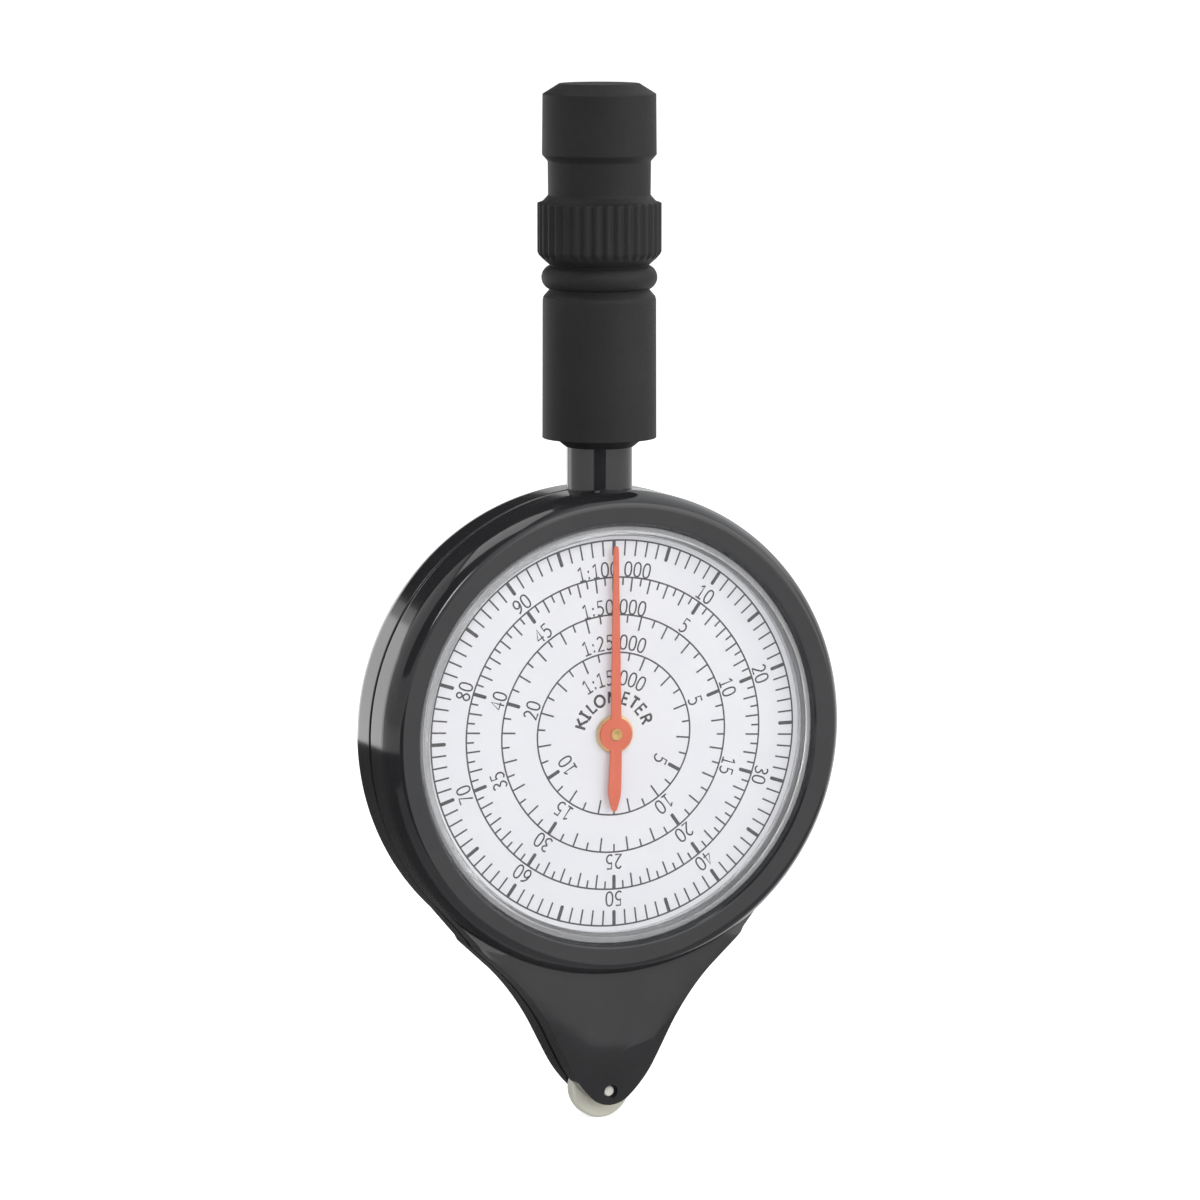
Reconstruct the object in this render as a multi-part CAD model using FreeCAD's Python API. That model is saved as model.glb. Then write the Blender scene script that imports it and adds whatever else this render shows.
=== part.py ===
import FreeCAD, Part
import math
import os
from FreeCAD import Vector

# A map measurer (opisometer) with a dial on each side, built from a split case.
# Millimetres and degrees, +Z up, the front dial faces -Y and X points to its right.
# The origin is the point where the tracing wheel touches the map. Drops are
# measured down from the dial centre, rises up from it, and depths from the
# parting plane towards the face of a half. Rear pieces are mirrored front ones.

# Measuring train: one turn of the pointers is one metre traced on the map
map_per_turn = 1000.0
wheel_pinion_teeth = 8
idler_teeth = 20
second_gear_teeth = 32
second_pinion_teeth = 8
centre_teeth = 112
train_module = 0.30
centre_module = 0.35
pressure_angle = 25.0
gear_addendum_share = 0.70
pinion_addendum_share = 0.75
dedendum_share = 0.95
tooth_backlash = 0.06
pinion_flank_steps = 4
gear_flank_steps = 2
running_clearance = 0.03

# Train levels and hubs
centre_gear_width = 0.8
level_gap = 0.4
train_gear_width = 0.8
collar_height = 0.15
end_shake = 0.15
hub_radius = 0.95
centre_hub_radius = 2.0
centre_arbor_radius = 0.55
second_arbor_radius = 0.45
second_arbor_seat = 1.3
second_hole_gap = 0.1
idler_pin_radius = 0.42
idler_pin_seat = 0.7
lightening_count = 6
lightening_radius = 4.2
lightening_place_radius = 11.0

# Tracing wheel and its axle
wheel_width = 1.6
wheel_rim_round = 0.35
wheel_gear_gap = 0.2
wheel_side_gap = 0.2
wheel_slot_gap = 0.3
wheel_pinion_overlap = 0.1
axle_radius = 0.5
axle_bearing_length = 0.45
axle_recess_gap = 0.18

# Case halves, outwards from what they enclose
gear_tip_gap = 0.555
pocket_gap = 0.4
case_wall = 1.6
wall_depth = 2.8
shoulder_step = 0.8
bezel_edge_round = 0.25
bezel_width = 2.35
bezel_lip_width = 0.35
bezel_lip_fall = 0.45
cavity_depth = 2.4
well_floor = 0.8
bush_radius = 1.2
bush_flange_radius = 1.8
bush_flange_thickness = 0.2
bush_sink = 0.05
hub_shake = 0.1

# Dial, washer, pointer and crystal, in the order in which they are stacked
dial_thickness = 0.3
dial_edge_gap = 0.15
dial_hole_gap = 0.2
washer_gap = 0.1
washer_radius = 1.75
washer_thickness = 0.3
pointer_thickness = 0.2
pointer_hub_radius = 1.52
pointer_end_gap = 1.0
pointer_root_width = 0.88
pointer_neck_width = 0.55
pointer_tip_width = 0.3
pointer_tail_root_width = 1.04
pointer_tail_width = 1.18
pointer_nose_width = 0.64
pointer_neck_share = 0.906
pointer_tail_share = 0.414
pointer_nose_share = 0.395
pointer_spear_share = 0.31
arbor_stand = 0.15
arbor_cover_gap = 0.1
window_thickness = 0.7
crystal_sink = 0.1
crystal_rim = 0.85
crystal_bevel_width = 0.55
crystal_bevel_height = 0.45

# Beak: half widths as shares of the case radius, drops as shares of the drop of the tip
beak_skin = 0.7
tip_cover = 1.25
flank_top_angle = 46.3
corner_top_shares = (0.586, 0.543)
corner_foot_shares = (0.573, 0.558)
flank_arc_start_shares = (0.432, 0.642)
flank_arc_middle_shares = (0.319, 0.730)
flank_arc_end_shares = (0.241, 0.8175)
tip_side_start_shares = (0.191, 0.882)
tip_side_middle_shares = (0.1386, 0.937)
tip_side_end_shares = (0.0773, 0.981)
panel_angle = 46.0
panel_tip_radius = 5.4
panel_tip_gap = 3.1
panel_bevel_angle = 8.6
panel_bevel_fall = 1.5
flank_groove_width = 0.5
flank_groove_inset = 0.6
peg_radius = 0.8
peg_length = 1.5
beak_peg_wall = 2.4
beak_peg_rise = 0.5

# Stem, and the rubber grip from its nose upwards
stem_radius = 2.95
stem_length = 3.6
stem_peg_gap = 6.0
stem_peg_spacing = 18.0
nose_lip = 0.15
nose_height = 0.8
grip_under_radius = 3.8
barrel_radius = 5.1
barrel_height = 13.25
barrel_round = 0.55
groove_radius = 4.52
lower_groove_height = 0.08
bead_radius = 5.2
bead_height = 2.13
upper_groove_height = 0.04
ring_foot_radius = 4.6
ring_radius = 5.57
ring_foot_height = 1.0
ring_height = 4.52
ring_step_radius = 5.08
ring_step_height = 0.16
neck_radius = 4.6
neck_flare_height = 0.54
neck_height = 3.03
cap_flare_height = 0.57
cap_radius = 5.12
cap_height = 5.39
grip_top_radius = 3.6
grip_top_height = 0.92
grip_top_wall = 3.0
socket_gap = 0.2
flute_count = 36
flute_radius = 0.33
flute_offset = 0.12

# Radii and drops of the train
centre_tip_radius = centre_module * (centre_teeth / 2 + gear_addendum_share)
second_tip_radius = train_module * (second_gear_teeth / 2 + gear_addendum_share)
idler_tip_radius = train_module * (idler_teeth / 2 + gear_addendum_share)
wheel_pinion_tip_radius = train_module * (wheel_pinion_teeth / 2 + pinion_addendum_share)
train_ratio = second_gear_teeth / wheel_pinion_teeth * centre_teeth / second_pinion_teeth
wheel_radius = map_per_turn / train_ratio / (2 * math.pi)
second_drop = centre_module * (centre_teeth + second_pinion_teeth) / 2
idler_drop = second_drop + train_module * (second_gear_teeth + idler_teeth) / 2
axle_drop = idler_drop + train_module * (idler_teeth + wheel_pinion_teeth) / 2
dial_height = axle_drop + wheel_radius

# Depths, from the parting plane outwards
centre_half_width = centre_gear_width / 2
train_back = centre_half_width + level_gap
train_front = train_back + train_gear_width
train_hub_depth = train_front + collar_height
pocket_depth = train_hub_depth + end_shake
wheel_front = train_back - wheel_gear_gap
wheel_rear = wheel_width - wheel_front
wheel_pinion_front = train_front + wheel_pinion_overlap
axle_end_depth = pocket_depth + axle_bearing_length
idler_pin_depth = pocket_depth + idler_pin_seat
beak_depth = idler_pin_depth + beak_skin
second_arbor_depth = pocket_depth + second_arbor_seat
bush_flange_depth = cavity_depth - bush_flange_thickness
centre_hub_depth = bush_flange_depth - hub_shake
well_depth = cavity_depth + well_floor
dial_depth = well_depth + dial_thickness
washer_depth = dial_depth + washer_gap
pointer_back = washer_depth + washer_thickness
pointer_front = pointer_back + pointer_thickness
arbor_end_depth = pointer_front + arbor_stand
crystal_under_depth = arbor_end_depth + arbor_cover_gap
crystal_top_depth = crystal_under_depth + window_thickness
bezel_depth = crystal_top_depth + crystal_sink

# Radii of the case and of what it carries
cavity_radius = centre_tip_radius + gear_tip_gap
case_radius = cavity_radius + case_wall
bezel_radius = case_radius - shoulder_step
crystal_radius = bezel_radius - bezel_width
crystal_inner_radius = crystal_radius - crystal_rim
dial_radius = crystal_radius - dial_edge_gap
pointer_reach = crystal_inner_radius - pointer_end_gap
tip_drop = axle_drop + tip_cover

# Rises of the grip
grip_nose_rise = case_radius + stem_length
grip_under_rise = grip_nose_rise + nose_height
barrel_top_rise = grip_under_rise + barrel_height
bead_foot_rise = barrel_top_rise + lower_groove_height
bead_top_rise = bead_foot_rise + bead_height
ring_foot_rise = bead_top_rise + upper_groove_height
ring_lower_rise = ring_foot_rise + ring_foot_height
ring_upper_rise = ring_lower_rise + ring_height
ring_step_rise = ring_upper_rise + ring_step_height
neck_foot_rise = ring_step_rise + neck_flare_height
neck_top_rise = neck_foot_rise + neck_height
cap_foot_rise = neck_top_rise + cap_flare_height
cap_top_rise = cap_foot_rise + cap_height
grip_top_rise = cap_top_rise + grip_top_height
socket_rise = grip_top_rise - grip_top_wall
stem_top_rise = socket_rise - socket_gap

Y_AXIS = Vector(0, 1, 0)
Z_AXIS = Vector(0, 0, 1)
ORIGIN = Vector(0, 0, 0)
quarter_bend_share = 1 - math.sqrt(0.5)


def at(side, depth, drop=0.0):
    """Point on a half: side along X, depth in front of the parting plane, drop below the dial centre."""
    return Vector(side, -depth, dial_height - drop)


def closed_wire(edges):
    return Part.Wire([edge.toShape() for edge in edges])


def face_of(points):
    return Part.Face(Part.makePolygon(list(points) + [points[0]]))


def turned(profile, axis_drop=0.0):
    """Solid turned about the dial axis, or one parallel to it, from (radius, depth) points."""
    points = [at(radius, depth, axis_drop) for radius, depth in profile]
    return face_of(points).revolve(at(0, 0, axis_drop), Y_AXIS, 360)


def disc(radius, front, back, drop=0.0, side=0.0):
    """Cylinder parallel to the dial axis, from depth front to the lesser depth back."""
    return Part.makeCylinder(radius, front - back, at(side, front, drop), Y_AXIS)


def rod(radius, low_rise, high_rise):
    """Cylinder on the handle axis between two rises."""
    return Part.makeCylinder(radius, high_rise - low_rise, at(0, 0, -low_rise), Z_AXIS)


def to_rear(shape):
    return shape.mirror(ORIGIN, Y_AXIS)


def involute_flank(base_radius, from_radius, to_radius, steps):
    """Radius and roll angle of points up one involute flank."""
    points = []
    for step in range(steps + 1):
        radius = from_radius + (to_radius - from_radius) * step / steps
        pressure = math.acos(min(1.0, base_radius / radius))
        points.append((radius, math.tan(pressure) - pressure))
    return points


def gear(teeth, module, addendum_share, steps, front, back, drop, first_tooth):
    """Spur gear between two depths; first_tooth is the angle of one tooth from +X, towards +Z."""
    pitch_radius = module * teeth / 2
    base_radius = pitch_radius * math.cos(math.radians(pressure_angle))
    tip_radius = pitch_radius + addendum_share * module
    root_radius = pitch_radius - dedendum_share * module
    start_radius = max(base_radius, root_radius)
    pressure = math.radians(pressure_angle)
    half_tooth = (math.pi * module - tooth_backlash) / (4 * pitch_radius)
    half_at_base = half_tooth + math.tan(pressure) - pressure
    flank = involute_flank(base_radius, start_radius, tip_radius, steps)
    points = []
    for number in range(teeth):
        middle = math.radians(first_tooth) + 2 * math.pi * number / teeth
        rising = [(radius, middle - half_at_base + roll) for radius, roll in flank]
        falling = [(radius, middle + half_at_base - roll) for radius, roll in reversed(flank)]
        if root_radius < start_radius:
            rising.insert(0, (root_radius, rising[0][1]))
            falling.append((root_radius, falling[-1][1]))
        points += rising + falling
    corners = []
    for radius, angle in points:
        corners.append(at(radius * math.cos(angle), front, drop - radius * math.sin(angle)))
    return face_of(corners).extrude(Vector(0, front - back, 0))


def beak_outline(depth):
    """Closed wire of the beak seen from the front, in the plane at this depth."""
    angle = math.radians(flank_top_angle)
    flank_top = (case_radius * math.sin(angle), case_radius * math.cos(angle))
    top_drop = flank_top[1] - case_wall

    def place(shares):
        return (case_radius * shares[0], tip_drop * shares[1])

    edges = []
    for hand in (1, -1):
        def on(spot):
            return at(hand * spot[0], depth, spot[1])

        top_corner = on((flank_top[0], top_drop))
        edges.append(Part.LineSegment(at(0, depth, top_drop), top_corner))
        edges.append(Part.LineSegment(top_corner, on(flank_top)))
        edges.append(Part.LineSegment(on(flank_top), on(place(corner_top_shares))))
        edges.append(Part.LineSegment(on(place(corner_top_shares)), on(place(corner_foot_shares))))
        edges.append(Part.LineSegment(on(place(corner_foot_shares)), on(place(flank_arc_start_shares))))
        flank_arc = (flank_arc_start_shares, flank_arc_middle_shares, flank_arc_end_shares)
        edges.append(Part.Arc(*[on(place(shares)) for shares in flank_arc]))
        edges.append(Part.LineSegment(on(place(flank_arc_end_shares)), on(place(tip_side_start_shares))))
        tip_side = (tip_side_start_shares, tip_side_middle_shares, tip_side_end_shares)
        edges.append(Part.Arc(*[on(place(shares)) for shares in tip_side]))
    side, drop = place(tip_side_end_shares)
    edges.append(Part.Arc(at(side, depth, drop), at(0, depth, tip_drop), at(-side, depth, drop)))
    return Part.Wire(Part.__sortEdges__([edge.toShape() for edge in edges]))


def panel_wire(depth):
    """V-shaped outline of the flat panel, which widens with the bevel as the depth falls."""
    widening = (beak_depth - depth) / math.tan(math.radians(panel_bevel_angle))
    radius = panel_tip_radius + widening
    centre_drop = axle_drop - panel_tip_gap - panel_tip_radius
    angle = math.radians(panel_angle)
    foot_side = radius * math.sin(angle)
    foot_drop = centre_drop + radius * math.cos(angle)
    top_side = foot_side + tip_drop * math.cos(angle)
    top_drop = foot_drop - tip_drop * math.sin(angle)
    right_foot = at(foot_side, depth, foot_drop)
    left_foot = at(-foot_side, depth, foot_drop)
    right_top = at(top_side, depth, top_drop)
    left_top = at(-top_side, depth, top_drop)
    return closed_wire([
        Part.Arc(right_foot, at(0, depth, centre_drop + radius), left_foot),
        Part.LineSegment(left_foot, left_top),
        Part.LineSegment(left_top, right_top),
        Part.LineSegment(right_top, right_foot),
    ])


def beak_block():
    """Front half of the beak, with its flat panel and the shallow bevel around it."""
    bevel_foot_depth = beak_depth - panel_bevel_fall
    outline = Part.Face(beak_outline(0))
    bevel = Part.makeLoft([panel_wire(beak_depth), panel_wire(bevel_foot_depth)], True, True)
    base = outline.extrude(Vector(0, -bevel_foot_depth, 0))
    return outline.extrude(Vector(0, -beak_depth, 0)).common(bevel).fuse(base)


def flank_groove():
    """Shallow slot around the beak on the parting plane, below the corners where it leaves the case."""
    half = flank_groove_width / 2
    outline = Part.Face(beak_outline(half))
    inner = Part.Face(beak_outline(half).makeOffset2D(-flank_groove_inset))
    rim = outline.cut(inner).extrude(Vector(0, flank_groove_width, 0))
    corner_drop = tip_drop * corner_foot_shares[1]
    low_corner = at(-case_radius, flank_groove_width, tip_drop)
    below = Part.makeBox(2 * case_radius, 2 * flank_groove_width, tip_drop - corner_drop, low_corner)
    return rim.common(below)


def shell_half():
    """Outside of the front half: wall, rounded shoulder, bezel, dial well, beak and stem."""
    shoulder_height = bezel_depth - bezel_edge_round - wall_depth
    shoulder_round = (shoulder_height ** 2 + shoulder_step ** 2) / (2 * shoulder_step)
    half_turn = math.asin(shoulder_height / shoulder_round) / 2
    shoulder_foot = at(case_radius, wall_depth)
    shoulder_middle = at(
        case_radius - shoulder_round * (1 - math.cos(half_turn)),
        wall_depth + shoulder_round * math.sin(half_turn),
    )
    shoulder_top = at(bezel_radius, bezel_depth - bezel_edge_round)
    face_outer = at(bezel_radius - bezel_edge_round, bezel_depth)
    face_inner = at(crystal_radius + bezel_lip_width, bezel_depth)
    lip = at(crystal_radius, bezel_depth - bezel_lip_fall)
    profile = closed_wire([
        Part.LineSegment(at(0, 0), at(case_radius, 0)),
        Part.LineSegment(at(case_radius, 0), shoulder_foot),
        Part.Arc(shoulder_foot, shoulder_middle, shoulder_top),
        Part.LineSegment(shoulder_top, face_outer),
        Part.LineSegment(face_outer, face_inner),
        Part.LineSegment(face_inner, lip),
        Part.LineSegment(lip, at(crystal_radius, well_depth)),
        Part.LineSegment(at(crystal_radius, well_depth), at(0, well_depth)),
        Part.LineSegment(at(0, well_depth), at(0, 0)),
    ])
    ring = Part.Face(profile).revolve(at(0, 0), Y_AXIS, 360)
    well = disc(crystal_radius, bezel_depth, well_depth)
    stem = rod(stem_radius, cavity_radius, stem_top_rise)
    front_space = Part.makeBox(2 * stem_radius, stem_radius, stem_top_rise, at(-stem_radius, stem_radius))
    return ring.fuse([beak_block().cut(well), stem.common(front_space)])


def case_half():
    """Front half with its cavities and bores."""
    return shell_half().cut([
        disc(cavity_radius, cavity_depth, 0),
        disc(second_tip_radius + pocket_gap, pocket_depth, 0, second_drop),
        disc(idler_tip_radius + pocket_gap, pocket_depth, 0, idler_drop),
        disc(bush_radius, well_depth, 0),
        disc(axle_radius + running_clearance, beak_depth, 0, axle_drop),
        disc(axle_radius + axle_recess_gap, beak_depth, axle_end_depth, axle_drop),
        disc(idler_pin_radius, idler_pin_depth, 0, idler_drop),
        disc(second_arbor_radius + running_clearance, second_arbor_depth + second_hole_gap, 0, second_drop),
        flank_groove(),
    ])


def pegs():
    """Locating pegs that stand on the rear half and enter the front one."""
    beside = second_tip_radius + pocket_gap + beak_peg_wall + peg_radius
    beak_drop = second_drop - beak_peg_rise
    lower = case_radius + stem_length + stem_peg_gap
    places = [(beside, beak_drop), (-beside, beak_drop), (0, -lower), (0, -lower - stem_peg_spacing)]
    return [disc(peg_radius, peg_length, 0, drop, side) for side, drop in places]


def front_case():
    slot = disc(wheel_radius + wheel_slot_gap, wheel_front + wheel_side_gap, 0, axle_drop)
    pinion_pocket = disc(wheel_pinion_tip_radius + pocket_gap, pocket_depth, 0, axle_drop)
    return case_half().cut([slot, pinion_pocket] + pegs())


def rear_case():
    slot = disc(wheel_radius + wheel_slot_gap, wheel_rear + wheel_side_gap, 0, axle_drop)
    return to_rear(case_half().cut(slot)).fuse(pegs())


def crystal():
    """Moulded cover: flat window with a bevelled edge and a rim that holds the dial down."""
    return turned([
        (0, crystal_under_depth),
        (crystal_inner_radius, crystal_under_depth),
        (crystal_inner_radius, dial_depth),
        (crystal_radius, dial_depth),
        (crystal_radius, crystal_top_depth - crystal_bevel_height),
        (crystal_radius - crystal_bevel_width, crystal_top_depth),
        (0, crystal_top_depth),
    ])


def dial():
    hole = disc(bush_radius + dial_hole_gap, dial_depth, well_depth)
    return disc(dial_radius, dial_depth, well_depth).cut(hole)


def bush():
    """Flanged bearing for the centre arbor, pressed into the floor of the well from inside."""
    bore = centre_arbor_radius + running_clearance
    return turned([
        (bore, bush_flange_depth),
        (bush_flange_radius, bush_flange_depth),
        (bush_flange_radius, cavity_depth),
        (bush_radius, cavity_depth),
        (bush_radius, dial_depth - bush_sink),
        (bore, dial_depth - bush_sink),
    ])


def pointer_washer():
    bore = disc(centre_arbor_radius, pointer_back, washer_depth)
    return disc(washer_radius, pointer_back, washer_depth).cut(bore)


def pointer():
    """Thin sheet pointer: tapered hand, round hub and a tail that widens to a blunt nose."""
    half_outline = [
        (pointer_tip_width / 2, -pointer_reach),
        (pointer_neck_width / 2, -pointer_reach * pointer_neck_share),
        (pointer_root_width / 2, 0),
        (pointer_tail_root_width / 2, pointer_hub_radius),
        (pointer_tail_width / 2, pointer_reach * pointer_spear_share),
        (pointer_nose_width / 2, pointer_reach * pointer_nose_share),
        (0, pointer_reach * pointer_tail_share),
    ]
    right = [at(side, pointer_front, drop) for side, drop in half_outline]
    left = [at(-side, pointer_front, drop) for side, drop in reversed(half_outline[:-1])]
    blade = face_of(right + left).extrude(Vector(0, pointer_thickness, 0))
    hub = disc(pointer_hub_radius, pointer_front, pointer_back)
    bore = disc(centre_arbor_radius, pointer_front, pointer_back)
    return blade.fuse(hub).removeSplitter().cut(bore)


def centre_arbor():
    return disc(centre_arbor_radius, arbor_end_depth, -arbor_end_depth)


def centre_gear():
    """Large gear with lightening holes and a long hub that locates it between the bushes."""
    toothed = gear(centre_teeth, centre_module, gear_addendum_share, gear_flank_steps,
                   centre_half_width, -centre_half_width, 0, -90 + 180 / centre_teeth)
    holes = []
    for number in range(lightening_count):
        angle = 2 * math.pi * number / lightening_count
        side = lightening_place_radius * math.cos(angle)
        drop = lightening_place_radius * math.sin(angle)
        holes.append(disc(lightening_radius, centre_half_width, -centre_half_width, drop, side))
    bore = disc(centre_arbor_radius, centre_hub_depth, -centre_hub_depth)
    hub = disc(centre_hub_radius, centre_hub_depth, -centre_hub_depth)
    return toothed.cut(holes).fuse(hub).cut(bore)


def second_gear():
    toothed = gear(second_gear_teeth, train_module, gear_addendum_share, pinion_flank_steps,
                   train_front, train_back, second_drop, -90)
    collar = disc(hub_radius, train_hub_depth, train_front, second_drop)
    bore = disc(second_arbor_radius, train_hub_depth, train_back, second_drop)
    return toothed.fuse(collar).cut(bore)


def second_pinion():
    rear_end = -centre_half_width - wheel_gear_gap
    toothed = gear(second_pinion_teeth, centre_module, pinion_addendum_share, pinion_flank_steps,
                   train_back, rear_end, second_drop, 90)
    collar = disc(hub_radius, rear_end, -train_hub_depth, second_drop)
    bore = disc(second_arbor_radius, train_back, -train_hub_depth, second_drop)
    return toothed.fuse(collar).cut(bore)


def second_arbor():
    return disc(second_arbor_radius, second_arbor_depth, -second_arbor_depth, second_drop)


def idler_gear():
    toothed = gear(idler_teeth, train_module, gear_addendum_share, pinion_flank_steps,
                   train_front, train_back, idler_drop, -90 + 180 / idler_teeth)
    hub = disc(hub_radius, train_hub_depth, -train_hub_depth, idler_drop)
    bore = disc(idler_pin_radius + running_clearance, train_hub_depth, -train_hub_depth, idler_drop)
    return toothed.fuse(hub).cut(bore)


def idler_pin():
    return disc(idler_pin_radius, idler_pin_depth, -idler_pin_depth, idler_drop)


def tracing_wheel():
    """Roller that runs on the map, with rounded rim edges."""
    bend = wheel_rim_round * quarter_bend_share
    flat_radius = wheel_radius - wheel_rim_round

    def on(radius, depth):
        return at(radius, depth, axle_drop)

    profile = closed_wire([
        Part.LineSegment(on(axle_radius, wheel_front), on(flat_radius, wheel_front)),
        Part.Arc(on(flat_radius, wheel_front), on(wheel_radius - bend, wheel_front - bend),
                 on(wheel_radius, wheel_front - wheel_rim_round)),
        Part.LineSegment(on(wheel_radius, wheel_front - wheel_rim_round),
                         on(wheel_radius, wheel_rim_round - wheel_rear)),
        Part.Arc(on(wheel_radius, wheel_rim_round - wheel_rear),
                 on(wheel_radius - bend, bend - wheel_rear), on(flat_radius, -wheel_rear)),
        Part.LineSegment(on(flat_radius, -wheel_rear), on(axle_radius, -wheel_rear)),
        Part.LineSegment(on(axle_radius, -wheel_rear), on(axle_radius, wheel_front)),
    ])
    return Part.Face(profile).revolve(on(0, 0), Y_AXIS, 360)


def wheel_pinion():
    toothed = gear(wheel_pinion_teeth, train_module, pinion_addendum_share, pinion_flank_steps,
                   wheel_pinion_front, wheel_front, axle_drop, 90)
    return toothed.cut(disc(axle_radius, wheel_pinion_front, wheel_front, axle_drop))


def wheel_axle():
    return disc(axle_radius, axle_end_depth, -axle_end_depth, axle_drop)


def grip_sleeve():
    """Rubber grip: nose, barrel, bead, fluted ring, neck and cap, moulded in one piece."""
    bend = barrel_round * quarter_bend_share
    flat_radius = barrel_radius - barrel_round
    nose_radius = stem_radius + nose_lip

    def on(radius, rise):
        return at(radius, 0, -rise)

    lower = [
        Part.LineSegment(on(0, grip_nose_rise), on(nose_radius, grip_nose_rise)),
        Part.LineSegment(on(nose_radius, grip_nose_rise), on(grip_under_radius, grip_under_rise)),
        Part.LineSegment(on(grip_under_radius, grip_under_rise), on(flat_radius, grip_under_rise)),
        Part.Arc(on(flat_radius, grip_under_rise), on(barrel_radius - bend, grip_under_rise + bend),
                 on(barrel_radius, grip_under_rise + barrel_round)),
        Part.LineSegment(on(barrel_radius, grip_under_rise + barrel_round),
                         on(barrel_radius, barrel_top_rise - barrel_round)),
        Part.Arc(on(barrel_radius, barrel_top_rise - barrel_round),
                 on(barrel_radius - bend, barrel_top_rise - bend), on(flat_radius, barrel_top_rise)),
        Part.LineSegment(on(flat_radius, barrel_top_rise), on(groove_radius, barrel_top_rise)),
        Part.LineSegment(on(groove_radius, barrel_top_rise), on(groove_radius, bead_foot_rise)),
        Part.Arc(on(groove_radius, bead_foot_rise), on(bead_radius, (bead_foot_rise + bead_top_rise) / 2),
                 on(groove_radius, bead_top_rise)),
    ]
    corners = [
        (groove_radius, bead_top_rise),
        (groove_radius, ring_foot_rise),
        (ring_foot_radius, ring_foot_rise),
        (ring_radius, ring_lower_rise),
        (ring_radius, ring_upper_rise),
        (ring_step_radius, ring_step_rise),
        (neck_radius, neck_foot_rise),
        (neck_radius, neck_top_rise),
        (cap_radius, cap_foot_rise),
        (cap_radius, cap_top_rise),
        (grip_top_radius, grip_top_rise),
        (0, grip_top_rise),
        (0, grip_nose_rise),
    ]
    upper = [Part.LineSegment(on(*start), on(*end)) for start, end in zip(corners, corners[1:])]
    body = Part.Face(closed_wire(lower + upper)).revolve(at(0, 0), Z_AXIS, 360)
    flutes = []
    for number in range(flute_count):
        angle = 2 * math.pi * number / flute_count
        reach = ring_radius + flute_offset
        foot = Vector(reach * math.cos(angle), reach * math.sin(angle), dial_height + ring_foot_rise)
        flutes.append(Part.makeCylinder(flute_radius, ring_step_rise - ring_foot_rise, foot, Z_AXIS))
    return body.cut(flutes + [rod(stem_radius, cavity_radius, socket_rise)])


nodes = {
    "front_case": front_case(),
    "rear_case": rear_case(),
    "front_crystal": crystal(),
    "rear_crystal": to_rear(crystal()),
    "front_dial": dial(),
    "rear_dial": to_rear(dial()),
    "front_bush": bush(),
    "rear_bush": to_rear(bush()),
    "front_pointer_washer": pointer_washer(),
    "rear_pointer_washer": to_rear(pointer_washer()),
    "front_pointer": pointer(),
    "rear_pointer": to_rear(pointer()),
    "centre_arbor": centre_arbor(),
    "centre_gear": centre_gear(),
    "second_gear": second_gear(),
    "second_pinion": second_pinion(),
    "second_arbor": second_arbor(),
    "idler_gear": idler_gear(),
    "idler_pin": idler_pin(),
    "tracing_wheel": tracing_wheel(),
    "wheel_pinion": wheel_pinion(),
    "wheel_axle": wheel_axle(),
    "grip_sleeve": grip_sleeve(),
}

os.makedirs("parts", exist_ok=True)
for name, shape in nodes.items():
    print(f"{name:22s} valid {shape.isValid()} solids {len(shape.Solids)} volume {shape.Volume:9.3f}")
    shape.Solids[0].exportStep(f"parts/{name}.step")
print(f"dial height {dial_height:.4f}, wheel radius {wheel_radius:.4f}, train ratio {train_ratio:.1f}")
print(f"case radius {case_radius:.3f}, bezel depth {bezel_depth:.3f}")
print(f"overall height {dial_height + grip_top_rise:.3f}")
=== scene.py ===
import math

import bpy
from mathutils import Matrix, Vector


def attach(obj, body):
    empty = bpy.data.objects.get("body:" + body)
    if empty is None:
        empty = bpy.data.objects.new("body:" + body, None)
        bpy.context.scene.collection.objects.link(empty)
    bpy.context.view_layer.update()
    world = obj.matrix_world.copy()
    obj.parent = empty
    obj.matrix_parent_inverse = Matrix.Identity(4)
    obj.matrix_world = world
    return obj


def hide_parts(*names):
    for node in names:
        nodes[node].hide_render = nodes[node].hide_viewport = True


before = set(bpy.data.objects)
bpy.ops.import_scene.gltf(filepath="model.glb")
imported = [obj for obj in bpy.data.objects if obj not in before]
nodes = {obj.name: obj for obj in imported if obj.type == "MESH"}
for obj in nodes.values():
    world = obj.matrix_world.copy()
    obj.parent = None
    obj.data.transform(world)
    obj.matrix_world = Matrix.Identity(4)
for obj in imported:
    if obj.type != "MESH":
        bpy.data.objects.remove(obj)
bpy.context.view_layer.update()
scene = bpy.context.scene
scene.view_settings.view_transform = "Standard"

# The studio: a camera half a metre away, a little higher than the grip and to the left of the
# dial, and a round pale table with a low wall all around it.
bpy.ops.object.camera_add(
    location=(-0.18733, -0.46358, 0.11612),
    rotation=(math.radians(82.186), 0, math.radians(-22.010)),
)
camera = bpy.context.object
camera.name = "camera"
camera.data.sensor_width = 36
camera.data.lens = 168.18
scene.camera = camera


def reckon(tree, operation, first, second):
    """A Math node on two values, each a number or another node's output."""
    node = tree.nodes.new("ShaderNodeMath")
    node.operation = operation
    for socket, value in zip(node.inputs, (first, second)):
        if isinstance(value, (int, float)):
            socket.default_value = value
        else:
            tree.links.new(value, socket)
    return node.outputs[0]


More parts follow.
